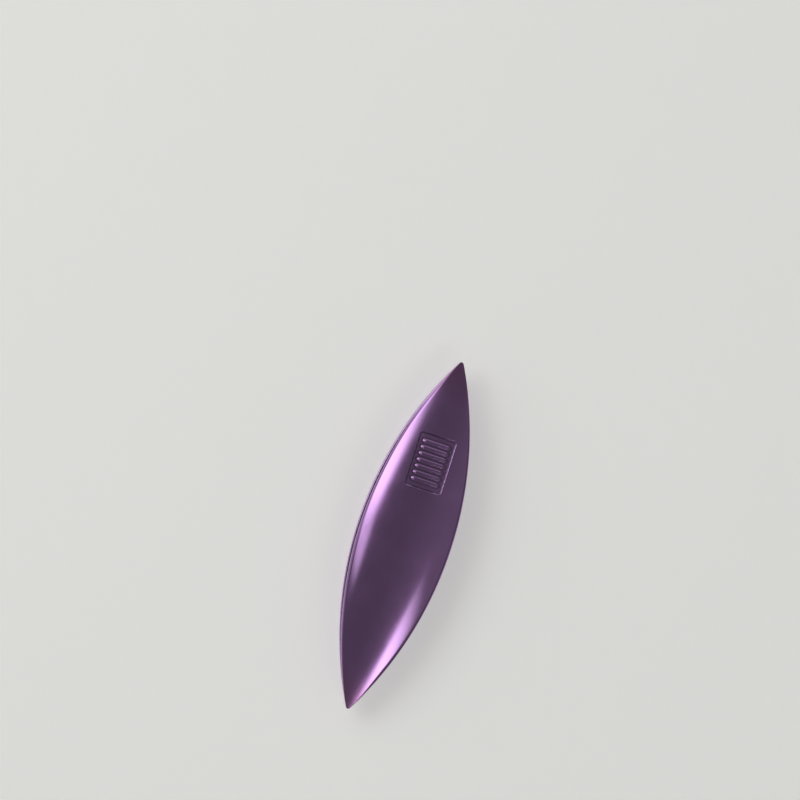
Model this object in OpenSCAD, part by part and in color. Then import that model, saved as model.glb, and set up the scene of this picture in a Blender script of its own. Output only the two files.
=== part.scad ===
// Tatting shuttle: two crowned aluminium blades that close tip to tip, on a core that holds the thread.
// Length runs along X and width along Y, and the shuttle lies on its lower blade's belly at Z = 0.

/* [Overall] */
// Length over the two tips
shuttle_len = 62; // [52:1:76]
// Width across the middle of a blade
shuttle_w = 16.1; // [13.4:0.1:20]
// Height over both blades at the middle
shuttle_h = 9.8; // [8:0.2:12]

/* [Blades] */
// Thickness of the sheet that the blades are pressed from
sheet = 0.8; // [0.6:0.1:1.2]
// Radius of the crown across a blade, to its outer face
crown_r = 20; // [16:1:40]
// Radius of a tip, seen from above
tip_r = 0.4; // [0.3:0.1:1.2]
// Gap between the two blades at their tips
tip_gap = 0.06; // [0.02:0.02:0.4]

/* [Coined panel] */
// Length of the panel, along the shuttle
panel_len = 9.6; // [6:0.2:12]
// Width of the panel
panel_w = 6.6; // [4:0.2:8]
// Radius of the panel's corners
panel_corner_r = 0.6; // [0.3:0.1:1.5]
// Depth of the panel below the blade's outer face
panel_depth = 0.2; // [0.1:0.05:0.4]
// From the middle of the shuttle to the middle of the panel
panel_from_middle = 13.1; // [9:0.1:15]

/* [Thumb ribs in the panel] */
// How many ribs stand in the panel
rib_count = 7; // [3:1:7]
// Distance from rib to rib
rib_pitch = 1.1; // [0.9:0.1:1.2]
// Width of a rib
rib_w = 0.5; // [0.4:0.05:0.6]
// Length of a rib, across the panel
rib_len = 4.4; // [3:0.2:5]
// How far the ribs' tops stay below the blade's outer face
rib_top_depth = 0.05; // [0.02:0.01:0.08]

/* [Core] */
// Length of the core, along the shuttle
core_len = 12; // [8:0.5:18]
// Thickness of the core, across the shuttle
core_w = 3.6; // [2.8:0.2:5]
// Diameter of the hole that the thread is tied through
thread_hole_d = 1.8; // [1:0.1:2.4]
// Chamfer at each mouth of the thread hole
hole_chamfer = 0.3; // [0.1:0.05:0.6]

/* [Hidden] */
$fn = 360;

// A cut runs this much past the face that it goes through.
overrun = 0.01;
// The crown is swept this many degrees past each tip, so that the outline alone ends the blade.
sweep_past_tip = 4;

half_len = shuttle_len / 2;
half_w = shuttle_w / 2;
mid_z = shuttle_h / 2;

// Each side of the outline is one arc, which runs tangent into the round tips.
tip_x = half_len - tip_r;
side_r = (tip_x^2 + half_w^2 - tip_r^2) / (2 * (half_w - tip_r));
side_arc_y = side_r - half_w;
tangent_x = tip_x * side_r / (side_r - tip_r);

// The bow along a blade brings its inner face down to half the tip gap at the very tip.
inner_rise = mid_z - sheet - tip_gap / 2;
bow_r = (half_len^2 + inner_rise^2) / (2 * inner_rise) + sheet;
bow_sweep = 2 * (asin(half_len / bow_r) + sweep_past_tip);

// Plan view of a blade: two side arcs, and a round tip at each end.
module blade_outline() {
    intersection() {
        translate([0, -side_arc_y]) circle(r = side_r);
        translate([0, side_arc_y]) circle(r = side_r);
        square([2 * tangent_x, 2 * shuttle_w], center = true);
    }
    for (end = [-1, 1])
        translate([end * tip_x, 0]) circle(r = tip_r);
}

// All that lies under the upper blade's outer face set down by depth: a round crown swept along the bow.
module under_crown(depth) {
    translate([0, 0, shuttle_h - bow_r])
        rotate([-90, -90, 0])
            rotate([0, 0, -bow_sweep / 2])
                rotate_extrude(angle = bow_sweep)
                    translate([bow_r - crown_r, 0])
                        intersection() {
                            circle(r = crown_r - depth);
                            translate([0, -crown_r]) square([crown_r, 2 * crown_r]);
                        }
}

// Turns what is drawn for the upper blade over, into its place on the lower one.
module turned_over() {
    translate([0, 0, shuttle_h]) mirror([0, 0, 1]) children();
}

// Pressed sheet: the crown, less the same crown one sheet deeper, blanked to the outline.
module blade() {
    intersection() {
        difference() {
            under_crown(0);
            under_crown(sheet);
        }
        translate([0, 0, mid_z])
            linear_extrude(height = mid_z + overrun) blade_outline();
    }
}

// Plan view of the coined panel, with its round corners.
module panel_outline() {
    square([panel_len, panel_w - 2 * panel_corner_r], center = true);
    square([panel_len - 2 * panel_corner_r, panel_w], center = true);
    for (side_x = [-1, 1], side_y = [-1, 1])
        translate([side_x * (panel_len / 2 - panel_corner_r), side_y * (panel_w / 2 - panel_corner_r)])
            circle(r = panel_corner_r);
}

// Plan view of the ribs: a row of bars with round ends, which lie across the panel.
module rib_outlines() {
    for (i = [0:rib_count - 1])
        translate([(i - (rib_count - 1) / 2) * rib_pitch, 0]) {
            square([rib_w, rib_len - rib_w], center = true);
            for (end = [-1, 1])
                translate([0, end * (rib_len - rib_w) / 2]) circle(d = rib_w);
        }
}

// Stands a plan view of the panel up through the upper blade's outer face.
module over_panel() {
    translate([panel_from_middle, 0, mid_z])
        linear_extrude(height = mid_z + overrun) children();
}

// What the coining punch sinks into the upper blade. Its floor and its ribs' tops follow the crown.
module coined_recess() {
    difference() {
        over_panel() panel_outline();
        under_crown(panel_depth);
        intersection() {
            over_panel() rib_outlines();
            under_crown(rib_top_depth);
        }
    }
}

module upper_blade() {
    color("#8c5f96")
        difference() {
            blade();
            coined_recess();
        }
}

module lower_blade() {
    color("#8c5f96")
        turned_over() blade();
}

// Plan view of the core: an oblong with round ends, which the thread is wound on.
module core_outline() {
    square([core_len - core_w, core_w], center = true);
    for (end = [-1, 1])
        translate([end * (core_len - core_w) / 2, 0]) circle(d = core_w);
}

// The hole that the thread is tied through goes straight across the core. Each mouth is chamfered.
module thread_hole() {
    translate([0, 0, mid_z]) {
        rotate([90, 0, 0])
            cylinder(d = thread_hole_d, h = core_w + 2 * overrun, center = true);
        for (side = [-90, 90])
            rotate([side, 0, 0])
                translate([0, 0, core_w / 2 - hole_chamfer])
                    cylinder(r1 = thread_hole_d / 2, r2 = thread_hole_d / 2 + hole_chamfer + overrun,
                             h = hole_chamfer + overrun);
    }
}

// The top and the foot of the core carry the curve of the blades' inner faces, and seat on them.
module core() {
    color("#b9bcc0")
        difference() {
            intersection() {
                linear_extrude(height = shuttle_h) core_outline();
                under_crown(sheet);
                turned_over() under_crown(sheet);
            }
            thread_hole();
        }
}

upper_blade();
lower_blade();
core();
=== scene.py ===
"""Dresses the tatting shuttle: its two pressed and anodised blades, its drilled core, and a plain studio."""

import math

import bpy
import numpy as np
from bpy.props import FloatProperty, FloatVectorProperty, IntProperty, PointerProperty
from bpy.types import Operator, Panel, PropertyGroup
from mathutils import Matrix, Vector


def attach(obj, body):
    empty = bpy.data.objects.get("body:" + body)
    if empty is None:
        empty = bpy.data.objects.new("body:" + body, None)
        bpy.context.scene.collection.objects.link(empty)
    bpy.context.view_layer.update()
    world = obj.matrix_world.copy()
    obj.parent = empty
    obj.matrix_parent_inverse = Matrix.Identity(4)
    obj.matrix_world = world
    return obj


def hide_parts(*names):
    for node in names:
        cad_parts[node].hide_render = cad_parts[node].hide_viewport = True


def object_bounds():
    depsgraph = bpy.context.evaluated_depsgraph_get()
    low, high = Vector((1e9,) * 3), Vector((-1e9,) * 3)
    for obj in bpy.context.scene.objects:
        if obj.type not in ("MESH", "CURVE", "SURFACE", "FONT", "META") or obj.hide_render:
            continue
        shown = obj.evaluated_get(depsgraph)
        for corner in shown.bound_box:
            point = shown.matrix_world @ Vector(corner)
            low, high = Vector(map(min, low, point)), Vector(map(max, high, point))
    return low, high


bl_info = {
    "name": "Tatting Shuttle",
    "version": (1, 0, 0),
    "blender": (4, 5, 0),
    "location": "View3D > Sidebar > Shuttle",
    "description": "Builds the blades, core and studio of a pressed aluminium tatting shuttle",
    "category": "Add Mesh",
}

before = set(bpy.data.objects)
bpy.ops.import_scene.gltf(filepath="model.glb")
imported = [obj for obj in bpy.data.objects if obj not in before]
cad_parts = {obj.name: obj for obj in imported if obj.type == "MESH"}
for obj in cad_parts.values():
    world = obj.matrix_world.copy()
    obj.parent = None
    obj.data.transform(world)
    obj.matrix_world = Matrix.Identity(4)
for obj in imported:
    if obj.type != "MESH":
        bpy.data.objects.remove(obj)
cad_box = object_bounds()

MM = 0.001
CAD_LOW, CAD_HIGH = cad_box
BODY = "root"

# Where the photograph's 800 x 800 frame shows the middle of each round tip's end.
FRAME_PX = 800
PANEL_TIP_PX = (461.7, 362.2)
PLAIN_TIP_PX = (347.1, 708.2)

# The Mix node's sockets: two colours with their result, and two plain numbers.
MIX_A = 6
MIX_B = 7
MIX_RESULT = 2
MIX_NUMBER_A = 2
MIX_NUMBER_B = 3

# Most of a noise texture's values lie between these two.
NOISE_LOW = 0.3
NOISE_HIGH = 0.7


def srgb(hex_colour):
    """Turns an sRGB hex colour into the linear colour that shaders take."""
    channels = [int(hex_colour[i:i + 2], 16) / 255 for i in (1, 3, 5)]
    return tuple(c / 12.92 if c <= 0.04045 else ((c + 0.055) / 1.055) ** 2.4 for c in channels)


class ShuttleSizes(PropertyGroup):
    """Real sizes of the pressed blades. The overall ones come from the frame."""

    length: FloatProperty(
        name="Length", description="Length over the two tips",
        default=CAD_HIGH.x - CAD_LOW.x, unit="LENGTH")
    width: FloatProperty(
        name="Width", description="Width across the middle of a blade",
        default=CAD_HIGH.y - CAD_LOW.y, unit="LENGTH")
    height: FloatProperty(
        name="Height", description="Height over both blades",
        default=CAD_HIGH.z - CAD_LOW.z, unit="LENGTH")
    sheet: FloatProperty(
        name="Sheet", description="Thickness of the aluminium sheet",
        default=0.8 * MM, unit="LENGTH", precision=5)
    crown_radius: FloatProperty(
        name="Crown Radius", description="Radius of the crown across a blade",
        default=20 * MM, unit="LENGTH")
    tip_radius: FloatProperty(
        name="Tip Radius", description="Radius of a tip, seen from above",
        default=0.4 * MM, unit="LENGTH", precision=5)
    tip_gap: FloatProperty(
        name="Tip Gap", description="Gap between the two blades at their tips",
        default=0.06 * MM, unit="LENGTH", precision=5)
    edge_roll: FloatProperty(
        name="Edge Roll", description="Width of the band along the edge that pressing rolls down",
        default=0.56 * MM, unit="LENGTH", precision=5)
    edge_roll_angle: FloatProperty(
        name="Roll Angle", description="How much steeper the rolled band gets than the crown",
        default=math.radians(22), subtype="ANGLE", unit="ROTATION")
    edge_radius: FloatProperty(
        name="Edge Radius", description="Radius that tumbling leaves on the edge's outer corner",
        default=0.15 * MM, unit="LENGTH", precision=5)
    inner_edge_radius: FloatProperty(
        name="Inner Edge Radius",
        description="Radius on the edge's inner corner, which the thread slides over",
        default=0.44 * MM, unit="LENGTH", precision=5)
    panel_length: FloatProperty(
        name="Panel Length", description="Length of the coined panel",
        default=9.6 * MM, unit="LENGTH")
    panel_width: FloatProperty(
        name="Panel Width", description="Width of the coined panel",
        default=6.6 * MM, unit="LENGTH")
    panel_corner: FloatProperty(
        name="Panel Corner", description="Radius of the coined panel's corners",
        default=0.6 * MM, unit="LENGTH", precision=5)
    panel_depth: FloatProperty(
        name="Panel Depth", description="Depth of the coined panel",
        default=0.2 * MM, unit="LENGTH", precision=5)
    panel_from_middle: FloatProperty(
        name="Panel Place", description="From the middle of the shuttle to the middle of the panel",
        default=13.1 * MM, unit="LENGTH")
    panel_wall: FloatProperty(
        name="Panel Wall", description="Width over which the coined wall slopes down",
        default=0.22 * MM, unit="LENGTH", precision=5)
    panel_shoulder: FloatProperty(
        name="Panel Shoulder", description="Share of the coined wall that its rounded top takes",
        default=0.4, subtype="FACTOR", min=0.05, max=0.9)
    # Painted shade: how far the darkened band reaches to each side of a wall's foot.
    crease_shade_reach: FloatProperty(
        name="Crease Reach", description="How far pooled dye reaches to each side of a wall's foot",
        default=0.2 * MM, unit="LENGTH", precision=5)
    rib_count: IntProperty(
        name="Ribs", description="Plain thumb ribs that stand in the coined panel", default=7, min=1, max=9)
    rib_pitch: FloatProperty(
        name="Rib Pitch", description="Distance from rib to rib",
        default=1.1 * MM, unit="LENGTH", precision=5)
    rib_width: FloatProperty(
        name="Rib Width", description="Width of a rib halfway up its sides",
        default=0.5 * MM, unit="LENGTH", precision=5)
    rib_wall: FloatProperty(
        name="Rib Wall", description="Width over which a rib's side slopes down",
        default=0.26 * MM, unit="LENGTH", precision=5)
    rib_end_wall: FloatProperty(
        name="Rib End Wall", description="Width over which a rib's ends slope down",
        default=0.45 * MM, unit="LENGTH", precision=5)
    rib_length: FloatProperty(
        name="Rib Length", description="Length of a rib, across the panel",
        default=4.4 * MM, unit="LENGTH", precision=5)
    rib_height: FloatProperty(
        name="Rib Height", description="Height of a rib above the panel's floor",
        default=0.15 * MM, unit="LENGTH", precision=5)


class ShuttleFinish(PropertyGroup):
    """Colours and gloss of the two metals."""

    dye: FloatVectorProperty(
        name="Dye", description="Colour that the dyed oxide gives the aluminium",
        default=srgb("#b180c2"), subtype="COLOR", size=3, min=0, max=1)
    # A redder colour that the blade takes over the last 9 mm to each tip.
    tip_colour: FloatVectorProperty(
        name="Tip Dye", description="Redder colour near the tips, where the oxide took more dye",
        default=srgb("#b074af"), subtype="COLOR", size=3, min=0, max=1)
    worn_edge: FloatVectorProperty(
        name="Worn Edge", description="Paler colour where tumbling has thinned the dyed oxide",
        default=srgb("#cbaed2"), subtype="COLOR", size=3, min=0, max=1)
    # Painted shade: the share of its lightness that the colour keeps in the creases at the feet of the coined
    # walls and ribs.
    painted_crease_shade: FloatProperty(
        name="Pooled Dye", description="Share of its lightness that the colour keeps where dye has pooled",
        default=0.35, subtype="FACTOR", min=0, max=1)
    satin: FloatProperty(
        name="Satin", description="Roughness of the blasted and anodised sheet",
        default=0.15, subtype="FACTOR", min=0, max=1)
    bare_metal: FloatVectorProperty(
        name="Bare Metal", description="Colour of the undyed core",
        default=srgb("#d6d8db"), subtype="COLOR", size=3, min=0, max=1)


class StudioSetup(PropertyGroup):
    """The camera's place and the level of the light."""

    camera_distance: FloatProperty(
        name="Camera Distance", description="From the camera to the middle of the shuttle",
        default=0.66, unit="LENGTH")
    camera_tilt: FloatProperty(
        name="Camera Tilt", description="How far the camera leans over towards +Y",
        default=math.radians(4.7), subtype="ANGLE", unit="ROTATION")
    floor_colour: FloatVectorProperty(
        name="Floor", description="Colour of the pale paper that the shuttle lies on",
        default=srgb("#eeeeeb"), subtype="COLOR", size=3, min=0, max=1)
    softbox_height: FloatProperty(
        name="Softbox Height", description="Height of the softboxes over the floor",
        default=0.7, unit="LENGTH")
    softbox_level: FloatProperty(
        name="Softboxes", description="Brightness of the softboxes", default=2.35, min=0)
    ceiling_level: FloatProperty(
        name="Ceiling", description="Brightness of the dim ceiling over the shuttle", default=0.134, min=0)
    ceiling_side_level: FloatProperty(
        name="Ceiling Side", description="Brightness of the ceiling far out to -Y and -X", default=0.2, min=0)
    wall_level: FloatProperty(
        name="Walls", description="Brightness of the walls to +Y", default=0.5, min=0)
    dark_wall_level: FloatProperty(
        name="Dark Wall", description="Brightness of the wall to -Y", default=0.12, min=0)
    backdrop_level: FloatProperty(
        name="Backdrop", description="Brightness of the pale backdrop that stands all round behind the floor",
        default=0.5, min=0)
    window_level: FloatProperty(
        name="Window", description="Brightness halfway up the wall beyond the panel's end",
        default=0.25, min=0)
    paper_lift: FloatProperty(
        name="Paper Lift", description="How much paler than its shading the paper shows", default=0.42, min=0)


def add_node(tree, kind, inputs=None, **settings):
    """Adds a shader node, with its settings, and sets or links its inputs."""
    node = tree.nodes.new(kind)
    for name, value in settings.items():
        setattr(node, name, value)
    for name, value in (inputs or {}).items():
        if isinstance(value, bpy.types.NodeSocket):
            tree.links.new(value, node.inputs[name])
        elif node.inputs[name].type == "RGBA":
            node.inputs[name].default_value = (*value, 1.0)
        else:
            node.inputs[name].default_value = value
    return node


def new_material(name):
    """An empty node material and its tree."""
    material = bpy.data.materials.new(name)
    material.use_nodes = True
    material.node_tree.nodes.clear()
    return material, material.node_tree


def place_in_mm(tree):
    """The place on the object in millimetres, so that the patterns have real sizes."""
    place = add_node(tree, "ShaderNodeTexCoord").outputs["Object"]
    return add_node(tree, "ShaderNodeVectorMath", {0: place, "Scale": 1 / MM}, operation="SCALE").outputs[0]


# The anodised sheet's patterns: their sizes in millimetres, and the values that each one runs between.
PATCH_MM = 5
PATCH_TONES = (0.93, 1.05)
TIP_COLOUR_MM = 9
SPECK_MM = 0.4
SPECK_NOISE = (0.35, 0.75)
SPECK_WEAR = (0.1, 0.9)
DIMPLE_MM = 0.2
DIMPLE_DEPTH = 0.0012 * MM
SATIN_SPREAD = 0.015
SEALED_OXIDE_ROUGHNESS = 0.1
SEALED_OXIDE_IOR = 1.76


def anodised_aluminium(finish, sizes):
    """Aluminium sheet: blasted with fine beads, dyed in its oxide and sealed.

    The blasting gives a satin that softens the edges of highlights, the dyed oxide tints every
    reflection, and the sealed oxide on top adds a thin clear gloss.
    """
    material, tree = new_material("anodised_aluminium")
    place = place_in_mm(tree)

    # The oxide takes the dye a little unevenly, in patches of some 5 mm.
    patches = add_node(tree, "ShaderNodeTexNoise", {"Vector": place, "Scale": 1 / PATCH_MM, "Detail": 2.0})
    patch_tone = add_node(
        tree, "ShaderNodeMapRange",
        {"Value": patches.outputs[0], "From Min": NOISE_LOW, "From Max": NOISE_HIGH,
         "To Min": PATCH_TONES[0], "To Max": PATCH_TONES[1]})

    # Over the last 9 mm to each tip the colour turns redder.
    half_length = sizes.length / 2 / MM
    along = add_node(tree, "ShaderNodeSeparateXYZ", {0: place})
    from_middle = add_node(tree, "ShaderNodeMath", {0: along.outputs[0]}, operation="ABSOLUTE")
    tip_share = add_node(
        tree, "ShaderNodeMapRange",
        {"Value": from_middle.outputs[0], "From Min": half_length - TIP_COLOUR_MM, "From Max": half_length},
        interpolation_type="SMOOTHSTEP")
    dyed = add_node(
        tree, "ShaderNodeMix",
        {"Factor": tip_share.outputs[0], MIX_A: finish.dye, MIX_B: finish.tip_colour}, data_type="RGBA")
    toned = add_node(
        tree, "ShaderNodeVectorMath", {0: dyed.outputs[MIX_RESULT], "Scale": patch_tone.outputs[0]},
        operation="SCALE")

    # Tumbling wears the oxide off the rounded edge in specks of some 0.4 mm.
    edge = add_node(tree, "ShaderNodeAttribute", attribute_name="edge")
    specks = add_node(tree, "ShaderNodeTexNoise", {"Vector": place, "Scale": 1 / SPECK_MM, "Detail": 3.0})
    worn = add_node(
        tree, "ShaderNodeMapRange",
        {"Value": specks.outputs[0], "From Min": SPECK_NOISE[0], "From Max": SPECK_NOISE[1],
         "To Min": SPECK_WEAR[0], "To Max": SPECK_WEAR[1]})
    wear = add_node(
        tree, "ShaderNodeMath", {0: edge.outputs["Fac"], 1: worn.outputs[0]}, operation="MULTIPLY")
    colour = add_node(
        tree, "ShaderNodeMix",
        {"Factor": wear.outputs[0], MIX_A: toned.outputs[0], MIX_B: finish.worn_edge}, data_type="RGBA")

    # Painted shade: the colour is darkened at the foot of the coined walls and ribs, where shade falls in the
    # creases.
    painted_shade = add_node(tree, "ShaderNodeAttribute", attribute_name="painted_shade")
    crease_darkening = add_node(
        tree, "ShaderNodeMapRange",
        {"Value": painted_shade.outputs["Fac"], "To Min": 1.0, "To Max": finish.painted_crease_shade})
    crease_shaded = add_node(
        tree, "ShaderNodeVectorMath", {0: colour.outputs[MIX_RESULT], "Scale": crease_darkening.outputs[0]},
        operation="SCALE")

    # Bead dimples are about 0.08 mm across, too fine to show, so they are drawn 0.2 mm across.
    dimples = add_node(
        tree, "ShaderNodeTexNoise", {"Vector": place, "Scale": 1 / DIMPLE_MM, "Detail": 2.0})
    blasted = add_node(
        tree, "ShaderNodeBump", {"Height": dimples.outputs[0], "Distance": DIMPLE_DEPTH, "Strength": 1.0})
    gloss = add_node(
        tree, "ShaderNodeMapRange",
        {"Value": patches.outputs[0], "From Min": NOISE_LOW, "From Max": NOISE_HIGH,
         "To Min": finish.satin - SATIN_SPREAD, "To Max": finish.satin + SATIN_SPREAD})

    shader = add_node(
        tree, "ShaderNodeBsdfPrincipled",
        {"Base Color": crease_shaded.outputs[0], "Metallic": 1.0, "Roughness": gloss.outputs[0],
         "Normal": blasted.outputs[0], "Coat Weight": 1.0, "Coat Roughness": SEALED_OXIDE_ROUGHNESS,
         "Coat IOR": SEALED_OXIDE_IOR})
    add_node(tree, "ShaderNodeOutputMaterial", {"Surface": shader.outputs[0]})
    return material


# The drawn bar's lines: their spacing and length in millimetres, and what they do to the surface.
LINE_MM = 0.12
LINE_LENGTH_MM = 6
LINE_DEPTH = 0.004 * MM
LINE_TONES = (0.9, 1.0)
DRAWN_ROUGHNESS = 0.34


def drawn_aluminium(finish):
    """Aluminium bar: drawn through a die and left undyed.

    Drawing leaves fine lines up the core, which stretch its highlights sideways.
    """
    material, tree = new_material("drawn_aluminium")
    place = place_in_mm(tree)

    # The die's lines run up the core and lie about 0.12 mm apart.
    line_scale = (1 / LINE_MM, 1 / LINE_MM, 1 / LINE_LENGTH_MM)
    stretched = add_node(tree, "ShaderNodeVectorMath", {0: place, 1: line_scale}, operation="MULTIPLY")
    lines = add_node(
        tree, "ShaderNodeTexNoise", {"Vector": stretched.outputs[0], "Scale": 1.0, "Detail": 3.0})
    scored = add_node(
        tree, "ShaderNodeBump", {"Height": lines.outputs[0], "Distance": LINE_DEPTH, "Strength": 1.0})
    tone = add_node(
        tree, "ShaderNodeMapRange",
        {"Value": lines.outputs[0], "From Min": NOISE_LOW, "From Max": NOISE_HIGH,
         "To Min": LINE_TONES[0], "To Max": LINE_TONES[1]})
    colour = add_node(
        tree, "ShaderNodeVectorMath", {0: finish.bare_metal, "Scale": tone.outputs[0]}, operation="SCALE")
    shader = add_node(
        tree, "ShaderNodeBsdfPrincipled",
        {"Base Color": colour.outputs[0], "Metallic": 1.0, "Roughness": DRAWN_ROUGHNESS,
         "Normal": scored.outputs[0]})
    add_node(tree, "ShaderNodeOutputMaterial", {"Surface": shader.outputs[0]})
    return material


# The paper's fibre is about this many millimetres from clump to clump.
FIBRE_MM = 0.7
FIBRE_DEPTH = 0.01 * MM
PAPER_ROUGHNESS = 0.9


def backdrop_paper(studio):
    """Seamless backdrop paper: calendered and uncoated, so it is matt, with a faint fibre."""
    material, tree = new_material("backdrop_paper")
    place = place_in_mm(tree)
    fibre = add_node(tree, "ShaderNodeTexNoise", {"Vector": place, "Scale": 1 / FIBRE_MM, "Detail": 4.0})
    pressed = add_node(
        tree, "ShaderNodeBump", {"Height": fibre.outputs[0], "Distance": FIBRE_DEPTH, "Strength": 1.0})
    paper = add_node(
        tree, "ShaderNodeBsdfPrincipled",
        {"Base Color": studio.floor_colour, "Roughness": PAPER_ROUGHNESS, "Normal": pressed.outputs[0]})
    # What the camera sees is lifted, and so is what shows in the metal, but no light is added to the object.
    path = add_node(tree, "ShaderNodeLightPath").outputs
    mirrored = add_node(
        tree, "ShaderNodeMath", {0: path["Is Glossy Ray"], 1: path["Is Transmission Ray"]}, operation="ADD")
    seen = add_node(
        tree, "ShaderNodeMath", {0: path["Is Camera Ray"], 1: mirrored.outputs[0]},
        operation="ADD", use_clamp=True)
    lift = add_node(tree, "ShaderNodeMath", {0: seen.outputs[0], 1: studio.paper_lift}, operation="MULTIPLY")
    paler = add_node(tree, "ShaderNodeEmission", {"Color": studio.floor_colour, "Strength": lift.outputs[0]})
    shader = add_node(tree, "ShaderNodeAddShader", {0: paper.outputs[0], 1: paler.outputs[0]})
    add_node(tree, "ShaderNodeOutputMaterial", {"Surface": shader.outputs[0]})
    return material


def softbox_fabric(studio):
    """Diffusion fabric with a lamp behind it: an even white glow, which dies away at the seams."""
    material, tree = new_material("softbox_fabric")
    glow = add_node(tree, "ShaderNodeAttribute", attribute_name="glow")
    level = add_node(
        tree, "ShaderNodeMath", {0: glow.outputs["Fac"], 1: studio.softbox_level}, operation="MULTIPLY")
    lit = add_node(tree, "ShaderNodeEmission", {"Strength": level.outputs[0]})
    clear = add_node(tree, "ShaderNodeBsdfTransparent")
    fabric = add_node(tree, "ShaderNodeAddShader", {0: lit.outputs[0], 1: clear.outputs[0]})
    add_node(tree, "ShaderNodeOutputMaterial", {"Surface": fabric.outputs[0]})
    return material


# Towards a narrow tip the edge's section shrinks over this length, to this share of the tip's radius.
EDGE_RUN_OUT = 8 * MM
TIP_EDGE_SHARE = 0.3
# Rings of points round the rolled band and round the tight corner, and the turns round the inner corner.
ROLL_RINGS = 5
CORNER_RINGS = 4
INNER_TURNS = np.radians([90, 75, 60, 45, 30, 15])
# How much painted shade falls just off a rib's foot, as a share of what falls at the foot of the panel's
# wall.
RIB_FOOT_SHADE = 0.7


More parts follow.
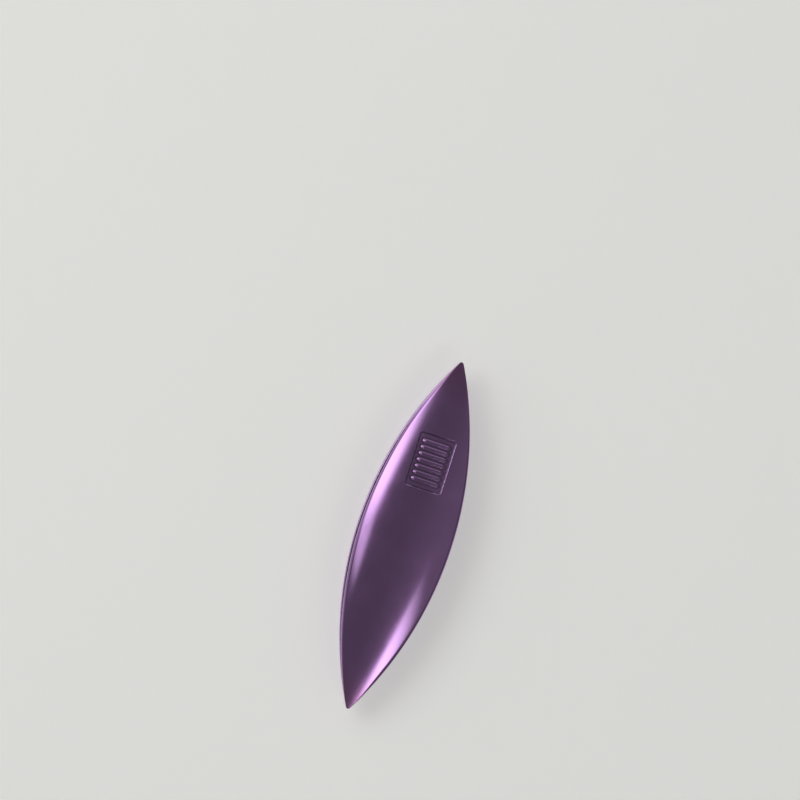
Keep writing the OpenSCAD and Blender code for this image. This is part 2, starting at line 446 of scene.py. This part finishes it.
class BladeForm:
    """The blade's outline and faces as formulas, in metres, for the upper blade."""

    def __init__(self, sizes):
        self.sizes = sizes
        self.half_length = sizes.length / 2
        half_width = sizes.width / 2
        self.tip_x = self.half_length - sizes.tip_radius
        self.side_radius = (
            (self.tip_x ** 2 + half_width ** 2 - sizes.tip_radius ** 2)
            / (2 * (half_width - sizes.tip_radius)))
        self.side_centre = self.side_radius - half_width
        self.join_angle = math.atan2(self.tip_x, self.side_centre)
        inner_rise = (sizes.height - sizes.tip_gap) / 2 - sizes.sheet
        self.bow_radius = (self.half_length ** 2 + inner_rise ** 2) / (2 * inner_rise) + sizes.sheet

    def outline(self, angle, inset):
        """The outline's point with the outward normal at that angle from +Y, set in by inset."""
        on_tip = np.abs(angle) > self.join_angle
        radius = np.where(on_tip, self.sizes.tip_radius, self.side_radius) - inset
        centre_x = np.where(on_tip, np.sign(angle) * self.tip_x, 0.0)
        centre_y = np.where(on_tip, 0.0, -self.side_centre)
        return centre_x + radius * np.sin(angle), centre_y + radius * np.cos(angle)

    def edge_share(self, angle):
        """The share of the edge's full section that the blade has: all of it, but less towards the tips."""
        widest = max(self.sizes.edge_roll, self.sizes.inner_edge_radius)
        narrow = TIP_EDGE_SHARE * self.sizes.tip_radius / widest
        x, _ = self.outline(angle, 0.0)
        return narrow + (1 - narrow) * smooth_step((self.half_length - np.abs(x)) / EDGE_RUN_OUT)

    def crown(self, x, y, depth):
        """Height of the crowned face that lies depth under the outer one."""
        across = np.sqrt((self.sizes.crown_radius - depth) ** 2 - y ** 2)
        swept = self.bow_radius - self.sizes.crown_radius + across
        return np.sqrt(swept ** 2 - x ** 2) + self.sizes.height - self.bow_radius

    def outer_edge(self):
        """Inset, drop and turn down the edge's outer half: the rolled band, then the tight corner."""
        sizes = self.sizes
        roll_radius = (
            (sizes.edge_roll - sizes.edge_radius * (1 - math.sin(sizes.edge_roll_angle)))
            / math.sin(sizes.edge_roll_angle))
        roll_drop = roll_radius * (1 - math.cos(sizes.edge_roll_angle))
        for turn in np.linspace(0, sizes.edge_roll_angle, ROLL_RINGS + 1)[1:]:
            yield sizes.edge_roll - roll_radius * math.sin(turn), roll_radius * (1 - math.cos(turn)), turn
        for turn in np.linspace(sizes.edge_roll_angle, math.pi / 2, CORNER_RINGS + 1)[1:]:
            corner_drop = sizes.edge_radius * (math.cos(sizes.edge_roll_angle) - math.cos(turn))
            yield sizes.edge_radius * (1 - math.sin(turn)), roll_drop + corner_drop, turn

    def inner_edge(self):
        """Inset, drop and turn back from the edge's inner corner to the inner face."""
        radius = self.sizes.inner_edge_radius
        for turn in INNER_TURNS:
            yield radius * (1 - math.sin(turn)), radius * (1 - math.cos(turn)), turn

    def past_panel(self, x, y):
        """Distance outwards from the panel's outline, less than 0 inside it."""
        sizes = self.sizes
        along = x - sizes.panel_from_middle
        over_x = np.abs(along) - sizes.panel_length / 2 + sizes.panel_corner
        over_y = np.abs(y) - sizes.panel_width / 2 + sizes.panel_corner
        outside = np.hypot(np.maximum(over_x, 0), np.maximum(over_y, 0))
        return outside + np.minimum(np.maximum(over_x, over_y), 0) - sizes.panel_corner

    def past_rib(self, x, y):
        """Distance outwards from the nearest rib's side, halfway up, less than 0 on the rib."""
        sizes = self.sizes
        along = x - sizes.panel_from_middle
        half_count = (sizes.rib_count - 1) / 2
        nearest = np.clip(np.round(along / sizes.rib_pitch), -half_count, half_count)
        from_rib = along - nearest * sizes.rib_pitch
        # A rib's ends slope down more gently than its sides, so its outline is drawn out there.
        stretch = sizes.rib_end_wall / sizes.rib_wall
        past_end = np.maximum(np.abs(y) - (sizes.rib_length - stretch * sizes.rib_width) / 2, 0)
        return np.hypot(from_rib, past_end / stretch) - sizes.rib_width / 2

    def coined(self, x, y):
        """How far the coining sinks the outer face: the panel, with a round shoulder, less its ribs."""
        sizes = self.sizes
        down_wall = np.clip(-self.past_panel(x, y) / sizes.panel_wall, 0, 1)
        shoulder = sizes.panel_shoulder
        fallen = np.where(down_wall < shoulder, down_wall ** 2 / (2 * shoulder), down_wall - shoulder / 2)
        sunk = sizes.panel_depth * fallen / (1 - shoulder / 2)
        raised = sizes.rib_height * smooth_step(0.5 - self.past_rib(x, y) / sizes.rib_wall)
        return np.maximum(sunk - raised, 0)

    def crease_shading(self, x, y):
        """Share of painted crease shade: 1 at the foot of the panel's wall, a little less just off a rib's
        foot, and 0 away from both.
        """
        sizes = self.sizes
        reach = sizes.crease_shade_reach
        from_foot = np.abs(self.past_panel(x, y) + sizes.panel_wall)
        off_rib_foot = np.abs(self.past_rib(x, y) - sizes.rib_wall)
        at_ribs = RIB_FOOT_SHADE * smooth_step(1 - off_rib_foot / reach)
        return np.maximum(smooth_step(1 - from_foot / reach), at_ribs)


def smooth_step(share):
    """Runs from 0 to 1 without a kink as share does."""
    share = np.clip(share, 0, 1)
    return share * share * (3 - 2 * share)


def face_normals(height, x, y):
    """Unit normals of the face z = height(x, y), from its slopes."""
    reach = 0.002 * MM
    slope_x = (height(x + reach, y) - height(x - reach, y)) / (2 * reach)
    slope_y = (height(x, y + reach) - height(x, y - reach)) / (2 * reach)
    normals = np.stack([-slope_x, -slope_y, np.ones_like(slope_x)], axis=-1)
    return normals / np.linalg.norm(normals, axis=-1, keepdims=True)


def spaced(*spans):
    """Values along spans of (start, stop, widest step), each end given once."""
    values = [spans[0][0]]
    for start, stop, step in spans:
        count = max(1, math.ceil((stop - start) / step))
        values.extend(start + (stop - start) * (i + 1) / count for i in range(count))
    return np.array(values)


# The widest steps in the blade's mesh: on its plain part, on the panel's flats and down the panel's wall,
# and across and along a rib.
PLAIN_STEP = 0.6 * MM
FLAT_STEP = 0.2 * MM
WALL_STEP = 0.045 * MM
ACROSS_RIB_STEP = 0.055 * MM
ALONG_RIB_STEP = 0.32 * MM
# The wall's fine steps start this far outside the panel.
WALL_MARGIN = 0.1 * MM
# The panel's rows lie in a band this much wider than the panel on each side, and on a narrow blade in this
# share of its width.
BAND_MARGIN = 0.4 * MM
BAND_SHARE = 0.7
# Columns round each tip, rows on half of a plain face, and rows outside the panel's band.
TIP_COLUMNS = 9
PLAIN_ROWS = 18
OUTER_ROWS = 11


def blade_columns(form, with_panel):
    """Normal angles of the columns that cross the blade, from the plain tip to the panel tip."""
    sizes = form.sizes
    inner_radius = form.side_radius - sizes.edge_roll
    reach = inner_radius * math.sin(form.join_angle)
    if with_panel:
        panel_start = sizes.panel_from_middle - sizes.panel_length / 2
        panel_end = sizes.panel_from_middle + sizes.panel_length / 2
        round_part = sizes.panel_corner + WALL_MARGIN
        ribs_half = ((sizes.rib_count - 1) * sizes.rib_pitch + sizes.rib_width + sizes.rib_wall) / 2
        ribs_start = sizes.panel_from_middle - ribs_half
        ribs_end = sizes.panel_from_middle + ribs_half
        places = spaced(
            (-reach, panel_start - WALL_MARGIN, PLAIN_STEP),
            (panel_start - WALL_MARGIN, panel_start + round_part, WALL_STEP),
            (panel_start + round_part, ribs_start, FLAT_STEP),
            (ribs_start, ribs_end, ACROSS_RIB_STEP),
            (ribs_end, panel_end - round_part, FLAT_STEP),
            (panel_end - round_part, panel_end + WALL_MARGIN, WALL_STEP),
            (panel_end + WALL_MARGIN, reach, PLAIN_STEP))
    else:
        places = spaced((-reach, reach, PLAIN_STEP))
    on_sides = np.arcsin(places / inner_radius)
    on_tip = np.linspace(form.join_angle, math.pi / 2, TIP_COLUMNS + 1)[1:]
    return np.concatenate([-on_tip[::-1], on_sides, on_tip])


def blade_rows(form, half_widths, with_panel):
    """Distance of every row from the centre line, for each column's half width."""
    sizes = form.sizes
    if not with_panel:
        return np.linspace(0, 1, PLAIN_ROWS + 1)[:, None] * half_widths[None, :]
    panel_side = sizes.panel_width / 2
    band = panel_side + BAND_MARGIN
    rib_end = (sizes.rib_length + sizes.rib_end_wall) / 2
    rib_slope = rib_end - 2 * sizes.rib_end_wall
    corner_start = panel_side - sizes.panel_corner - WALL_MARGIN
    in_band = spaced(
        (0, rib_slope, ALONG_RIB_STEP),
        (rib_slope, rib_end, ACROSS_RIB_STEP),
        (rib_end, corner_start, FLAT_STEP),
        (corner_start, panel_side + WALL_MARGIN, WALL_STEP),
        (panel_side + WALL_MARGIN, band, FLAT_STEP)) / band
    # The band's rows run straight past the panel, and draw in where the blade gets too narrow for them.
    band_widths = np.minimum(band, BAND_SHARE * half_widths)
    inner = in_band[:, None] * band_widths[None, :]
    shares = np.linspace(0, 1, OUTER_ROWS + 1)[1:, None]
    outer = band_widths[None, :] + shares * (half_widths - band_widths)[None, :]
    return np.concatenate([inner, outer])


# The higher the power, the closer the wear keeps to the edge's face.
OUTER_WEAR_POWER = 4
INNER_WEAR_POWER = 2


def blade_mesh(name, sizes, with_panel):
    """The upper blade as one closed skin, in rings from its back round the edge to its inner face."""
    form = BladeForm(sizes)
    angles = blade_columns(form, with_panel)
    share = form.edge_share(angles)
    outer_x, outer_y = form.outline(angles, share * sizes.edge_roll)
    inner_x, inner_y = form.outline(angles, share * sizes.inner_edge_radius)
    outer_rows = blade_rows(form, outer_y, with_panel)
    inner_rows = blade_rows(form, inner_y, with_panel)

    def outer_height(x, y):
        return form.crown(x, y, 0.0) - (form.coined(x, y) if with_panel else 0.0)

    def inner_height(x, y):
        return form.crown(x, y, sizes.sheet)

    outward = np.stack([np.sin(angles), np.cos(angles), np.zeros_like(angles)], axis=-1)
    points, normals, edges, painted_shades = [], [], [], []

    def add_ring(x, y, z, normal, edge, painted_shade=0.0):
        points.append(np.stack([x, y, z], axis=-1))
        normals.append(normal / np.linalg.norm(normal, axis=-1, keepdims=True))
        edges.append(np.full(x.shape, edge))
        painted_shades.append(np.broadcast_to(painted_shade, x.shape))

    for y in outer_rows:
        # Painted shade in the creases of the coined panel, which the material reads as a point attribute.
        painted_shade = form.crease_shading(outer_x, y) if with_panel else 0.0
        add_ring(outer_x, y, outer_height(outer_x, y), face_normals(outer_height, outer_x, y), 0.0, painted_shade)
    for inset, drop, turn in form.outer_edge():
        x, y = form.outline(angles, share * inset)
        up = face_normals(outer_height, x, y)
        normal = math.cos(turn) * up + math.sin(turn) * outward
        add_ring(x, y, outer_height(x, y) - share * drop, normal, math.sin(turn) ** OUTER_WEAR_POWER)
    for inset, drop, turn in form.inner_edge():
        x, y = form.outline(angles, share * inset)
        down = -face_normals(inner_height, x, y)
        normal = math.cos(turn) * down + math.sin(turn) * outward
        add_ring(x, y, inner_height(x, y) + share * drop, normal, math.sin(turn) ** INNER_WEAR_POWER)
    for y in inner_rows[::-1]:
        add_ring(inner_x, y, inner_height(inner_x, y), -face_normals(inner_height, inner_x, y), 0.0)
    marks = {"edge": np.array(edges), "painted_shade": np.array(painted_shades)}
    return skin_of_rings(name, np.array(points), np.array(normals), marks, len(outer_rows))


def skin_of_rings(name, points, normals, marks, face_rings):
    """Mirrors half rings over the centre line and joins them to one closed mesh with its own normals."""
    ring_count, column_count = points.shape[:2]
    mirror = np.array([1.0, -1.0, 1.0])
    flat_points = np.concatenate([points.reshape(-1, 3), (points * mirror).reshape(-1, 3)])
    flat_normals = np.concatenate([normals.reshape(-1, 3), (normals * mirror).reshape(-1, 3)])

    index = np.arange(2 * ring_count * column_count).reshape(2, ring_count, column_count)
    # The centre lines, and the ends of every ring, lie on the mirror's plane, so both halves share them.
    index[1, 0] = index[0, 0]
    index[1, -1] = index[0, -1]
    index[1, :, 0] = index[0, :, 0]
    index[1, :, -1] = index[0, :, -1]
    # Within a face, a ring's ends all fall on the blade's end point of that face.
    for tip in (0, -1):
        index[:, :face_rings, tip] = index[0, face_rings - 1, tip]
        index[:, -face_rings:, tip] = index[0, -face_rings, tip]

    faces = []
    for half, winding in ((0, 1), (1, -1)):
        ring = index[half]
        corners = np.stack([ring[:-1, :-1], ring[:-1, 1:], ring[1:, 1:], ring[1:, :-1]], axis=-1)
        for quad in corners.reshape(-1, 4).tolist():
            distinct = list(dict.fromkeys(quad[::winding]))
            if len(distinct) > 2:
                faces.append(distinct)
    used = sorted({corner for face in faces for corner in face})
    renumbered = {old: new for new, old in enumerate(used)}
    faces = [[renumbered[corner] for corner in face] for face in faces]

    mesh = bpy.data.meshes.new(name)
    mesh.from_pydata(flat_points[used].tolist(), [], faces)
    mesh.update()
    mesh.shade_smooth()
    mesh.normals_split_custom_set_from_vertices(flat_normals[used].tolist())
    for mark, values in marks.items():
        attribute = mesh.attributes.new(mark, "FLOAT", "POINT")
        attribute.data.foreach_set("value", np.tile(values.ravel(), 2)[used].astype(np.float32))
    return mesh


def turn_over(mesh, height):
    """Turns an upper blade's mesh over into the lower blade's place, by half a turn about the long axis."""
    mesh.transform(Matrix.Translation((0, 0, height)) @ Matrix.Rotation(math.pi, 4, "X"))


def add_piece(name, mesh, node, material):
    """Links a piece that stands for a CAD node, rides on its body and takes its slot's finish."""
    piece = bpy.data.objects.new(name, mesh)
    bpy.context.scene.collection.objects.link(piece)
    mesh.materials.append(material)
    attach(piece, BODY)
    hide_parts(node)
    return piece


class SHUTTLE_OT_blades(Operator):
    """Builds the two pressed blades"""

    bl_idname = "shuttle.blades"
    bl_label = "Build Blades"

    def execute(self, context):
        sizes = context.scene.shuttle_sizes
        finish = anodised_aluminium(context.scene.shuttle_finish, sizes)
        upper = blade_mesh("pressed_upper_blade", sizes, with_panel=True)
        add_piece("pressed_upper_blade", upper, "upper_blade", finish)
        lower = blade_mesh("pressed_lower_blade", sizes, with_panel=False)
        turn_over(lower, sizes.height)
        add_piece("pressed_lower_blade", lower, "lower_blade", finish)
        return {"FINISHED"}


class SHUTTLE_OT_core(Operator):
    """Finishes the drilled core between the blades"""

    bl_idname = "shuttle.core"
    bl_label = "Finish Core"

    def execute(self, context):
        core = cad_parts["core"]
        finish = drawn_aluminium(context.scene.shuttle_finish)
        core.data.materials.clear()
        core.data.materials.append(finish)
        return {"FINISHED"}


class Softbox:
    """A level softbox: its corners in metres from over the shuttle, its fading seams and its brightness.

    The corners run round from the start of its inner side. The fades are the shares of its length
    and width over which the glow dies away: at its start, its end, its inner and its outer side.
    """

    def __init__(self, name, corners, fades, brightness):
        self.name = name
        self.corners = [np.array(corner) for corner in corners]
        self.fades = fades
        self.brightness = brightness


SOFTBOXES = (
    Softbox(
        "softbox_left",
        corners=((0.5, -0.04), (-0.05, 0.46), (-0.13, 1.3), (1.2, 0.8)),
        fades=(0.72, 0.19, 0.1, 0.34),
        brightness=1.06),
    Softbox(
        "softbox_low",
        corners=((0.04, 0.393), (-0.225, 0.365), (0.02, 0.9), (0.05, 0.9)),
        fades=(0.22, 0.25, 0.13, 0.1),
        brightness=0.46),
    Softbox(
        "softbox_right",
        corners=((-0.542, -0.093), (-0.06, -0.491), (-0.2, -0.696), (-0.581, -0.088)),
        fades=(0.07, 0.57, 0.15, 0.06),
        brightness=1.2),
)
# A softbox's face has this many cells along it, and as many across.
SOFTBOX_CELLS = 30


def stage_sheet(name, mesh, material):
    """Links a sheet of the stage."""
    mesh.materials.append(material)
    sheet = bpy.data.objects.new(name, mesh)
    bpy.context.scene.collection.objects.link(sheet)
    return sheet


def add_softbox(softbox, height, material):
    """A softbox's lit face, as a grid that carries the glow at each of its points."""
    along, across = np.meshgrid(*[np.linspace(0, 1, SOFTBOX_CELLS + 1)] * 2, indexing="ij")
    share = along[..., None], across[..., None]
    start_inner, end_inner, end_outer, start_outer = softbox.corners
    inner = start_inner + share[0] * (end_inner - start_inner)
    outer = start_outer + share[0] * (end_outer - start_outer)
    flat = (inner + share[1] * (outer - inner)).reshape(-1, 2)

    fades = softbox.fades
    glow = softbox.brightness * (
        smooth_step(along / fades[0]) * smooth_step((1 - along) / fades[1])
        * smooth_step(across / fades[2]) * smooth_step((1 - across) / fades[3]))

    index = np.arange(glow.size).reshape(glow.shape)
    quads = np.stack([index[:-1, :-1], index[:-1, 1:], index[1:, 1:], index[1:, :-1]], axis=-1)
    mesh = bpy.data.meshes.new(softbox.name)
    mesh.from_pydata([(x, y, height) for x, y in flat.tolist()], [], quads.reshape(-1, 4).tolist())
    attribute = mesh.attributes.new("glow", "FLOAT", "POINT")
    attribute.data.foreach_set("value", glow.ravel().astype(np.float32))
    sheet = stage_sheet(softbox.name, mesh, material)
    sheet.visible_camera = False


# How far the paper runs to each side of the shuttle, in metres.
FLOOR_REACH = 4.0


def add_floor(material):
    """A level sheet of paper that runs on well past the view."""
    corners = [(x * FLOOR_REACH, y * FLOOR_REACH, 0) for x, y in ((-1, -1), (1, -1), (1, 1), (-1, 1))]
    mesh = bpy.data.meshes.new("backdrop_paper")
    mesh.from_pydata(corners, [], [range(4)])
    stage_sheet("backdrop_paper", mesh, material)


def add_camera(sizes, studio):
    """The camera looks down on the shuttle's back, as the photograph does."""
    across_px = PANEL_TIP_PX[0] - PLAIN_TIP_PX[0]
    up_px = PLAIN_TIP_PX[1] - PANEL_TIP_PX[1]
    length_px = math.hypot(across_px, up_px)
    px_per_metre = length_px / sizes.length

    tilt = studio.camera_tilt
    back = Vector((0, math.sin(tilt), math.cos(tilt)))
    long_axis = Vector((1, 0, 0))
    cross_axis = back.cross(long_axis)
    right = (across_px * long_axis - up_px * cross_axis) / length_px
    up = (up_px * long_axis + across_px * cross_axis) / length_px

    middle = Vector((0, 0, sizes.height / 2))
    off_right = ((PANEL_TIP_PX[0] + PLAIN_TIP_PX[0]) / 2 - FRAME_PX / 2) / px_per_metre
    off_down = ((PANEL_TIP_PX[1] + PLAIN_TIP_PX[1]) / 2 - FRAME_PX / 2) / px_per_metre

    data = bpy.data.cameras.new("photo_view")
    data.lens = data.sensor_width * px_per_metre * studio.camera_distance / FRAME_PX
    camera = bpy.data.objects.new("photo_view", data)
    turn = Matrix((right, up, back)).transposed().to_4x4()
    place = middle + back * studio.camera_distance - right * off_right + up * off_down
    camera.matrix_world = Matrix.Translation(place) @ turn
    bpy.context.scene.collection.objects.link(camera)
    bpy.context.scene.camera = camera


# Where one part of the room fades into the next: the start and the end of each fade, along the unit
# direction's Z for what lies higher or lower, and along its Y or X for what lies round the room.
BACKDROP_TOP = (0.11, 0.17)
WALL_FOOT = (0.05, 0.3)
WALL_TOP = (0.4, 0.62)
WINDOW_SILL = (0.25, 0.45)
BRIGHT_WALL = (0.0, 0.5)
WINDOW_SIDE = (0.5, 0.75)
# The ceiling's side lies to -Y, and a step to -X counts as this much of a step to -Y.
CEILING_SIDE = (-0.7, -0.05)
CEILING_LEAN = 0.4
# The walls' brightness at their foot, as a share of what it is higher up.
WALL_FOOT_SHARE = 0.35


def light_world(studio):
    """The room: a dim ceiling, walls that brighten to +Y and past the panel's end, and a pale backdrop."""
    world = bpy.data.worlds.new("studio_room")
    bpy.context.scene.world = world
    world.use_nodes = True
    tree = world.node_tree
    tree.nodes.clear()
    direction = add_node(tree, "ShaderNodeTexCoord").outputs["Generated"]
    parts = add_node(tree, "ShaderNodeSeparateXYZ", {0: direction}).outputs
    walls = add_node(
        tree, "ShaderNodeMapRange",
        {"Value": parts[1], "From Min": BRIGHT_WALL[0], "From Max": BRIGHT_WALL[1],
         "To Min": studio.dark_wall_level, "To Max": studio.wall_level},
        interpolation_type="SMOOTHSTEP")
    sideways = add_node(
        tree, "ShaderNodeMath", {0: parts[0], 1: CEILING_LEAN, 2: parts[1]}, operation="MULTIPLY_ADD")
    ceiling = add_node(
        tree, "ShaderNodeMapRange",
        {"Value": sideways.outputs[0], "From Min": CEILING_SIDE[0], "From Max": CEILING_SIDE[1],
         "To Min": studio.ceiling_side_level, "To Max": studio.ceiling_level},
        interpolation_type="SMOOTHSTEP")
    up_wall = add_node(
        tree, "ShaderNodeMapRange", {"Value": parts[2], "From Min": WALL_TOP[0], "From Max": WALL_TOP[1]},
        interpolation_type="SMOOTHSTEP")
    off_floor = add_node(
        tree, "ShaderNodeMapRange",
        {"Value": parts[2], "From Min": WALL_FOOT[0], "From Max": WALL_FOOT[1], "To Min": WALL_FOOT_SHARE},
        interpolation_type="SMOOTHSTEP")
    shaded_walls = add_node(
        tree, "ShaderNodeMath", {0: walls.outputs[0], 1: off_floor.outputs[0]}, operation="MULTIPLY")
    room_level = add_node(
        tree, "ShaderNodeMix",
        {"Factor": up_wall.outputs[0], MIX_NUMBER_A: shaded_walls.outputs[0],
         MIX_NUMBER_B: ceiling.outputs[0]},
        data_type="FLOAT")
    past_wall = add_node(
        tree, "ShaderNodeMapRange",
        {"Value": parts[0], "From Min": WINDOW_SIDE[0], "From Max": WINDOW_SIDE[1]},
        interpolation_type="SMOOTHSTEP")
    over_sill = add_node(
        tree, "ShaderNodeMapRange",
        {"Value": parts[2], "From Min": WINDOW_SILL[0], "From Max": WINDOW_SILL[1]},
        interpolation_type="SMOOTHSTEP")
    window = add_node(
        tree, "ShaderNodeMath", {0: past_wall.outputs[0], 1: over_sill.outputs[0]}, operation="MULTIPLY")
    level = add_node(
        tree, "ShaderNodeMix",
        {"Factor": window.outputs[0], MIX_NUMBER_A: room_level.outputs[0],
         MIX_NUMBER_B: studio.window_level},
        data_type="FLOAT")
    over_backdrop = add_node(
        tree, "ShaderNodeMapRange",
        {"Value": parts[2], "From Min": BACKDROP_TOP[0], "From Max": BACKDROP_TOP[1]},
        interpolation_type="SMOOTHSTEP")
    all_round = add_node(
        tree, "ShaderNodeMix",
        {"Factor": over_backdrop.outputs[0], MIX_NUMBER_A: studio.backdrop_level,
         MIX_NUMBER_B: level.outputs[0]},
        data_type="FLOAT")
    room = add_node(
        tree, "ShaderNodeBackground", {"Color": srgb("#ffffff"), "Strength": all_round.outputs[0]})
    add_node(tree, "ShaderNodeOutputWorld", {"Surface": room.outputs[0]})


class SHUTTLE_OT_stage(Operator):
    """Sets the floor, the softboxes, the room and the camera"""

    bl_idname = "shuttle.stage"
    bl_label = "Set Stage"

    def execute(self, context):
        sizes = context.scene.shuttle_sizes
        studio = context.scene.shuttle_studio
        add_floor(backdrop_paper(studio))
        fabric = softbox_fabric(studio)
        for softbox in SOFTBOXES:
            add_softbox(softbox, studio.softbox_height, fabric)
        light_world(studio)
        add_camera(sizes, studio)
        context.scene.view_settings.view_transform = "Standard"
        return {"FINISHED"}


class SHUTTLE_PT_sidebar(Panel):
    """Lists the shuttle's operators and settings"""

    bl_label = "Tatting Shuttle"
    bl_space_type = "VIEW_3D"
    bl_region_type = "UI"
    bl_category = "Shuttle"

    def draw(self, context):
        layout = self.layout
        for operator in OPERATORS:
            layout.operator(operator.bl_idname)
        for settings in (
                context.scene.shuttle_sizes, context.scene.shuttle_finish, context.scene.shuttle_studio):
            box = layout.box()
            for name in settings.__annotations__:
                box.prop(settings, name)


SETTINGS = (ShuttleSizes, ShuttleFinish, StudioSetup)
OPERATORS = (SHUTTLE_OT_stage, SHUTTLE_OT_blades, SHUTTLE_OT_core)
CLASSES = (*SETTINGS, *OPERATORS, SHUTTLE_PT_sidebar)


def register():
    """Registers the classes and hangs the settings on the scene."""
    for cls in CLASSES:
        bpy.utils.register_class(cls)
    bpy.types.Scene.shuttle_sizes = PointerProperty(type=ShuttleSizes)
    bpy.types.Scene.shuttle_finish = PointerProperty(type=ShuttleFinish)
    bpy.types.Scene.shuttle_studio = PointerProperty(type=StudioSetup)


def unregister():
    """Takes the settings and the classes away again."""
    del bpy.types.Scene.shuttle_studio
    del bpy.types.Scene.shuttle_finish
    del bpy.types.Scene.shuttle_sizes
    for cls in reversed(CLASSES):
        bpy.utils.unregister_class(cls)


def main():
    """Registers the add-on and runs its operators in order."""
    register()
    bpy.ops.shuttle.stage()
    bpy.ops.shuttle.blades()
    bpy.ops.shuttle.core()


if __name__ == "__main__":
    main()
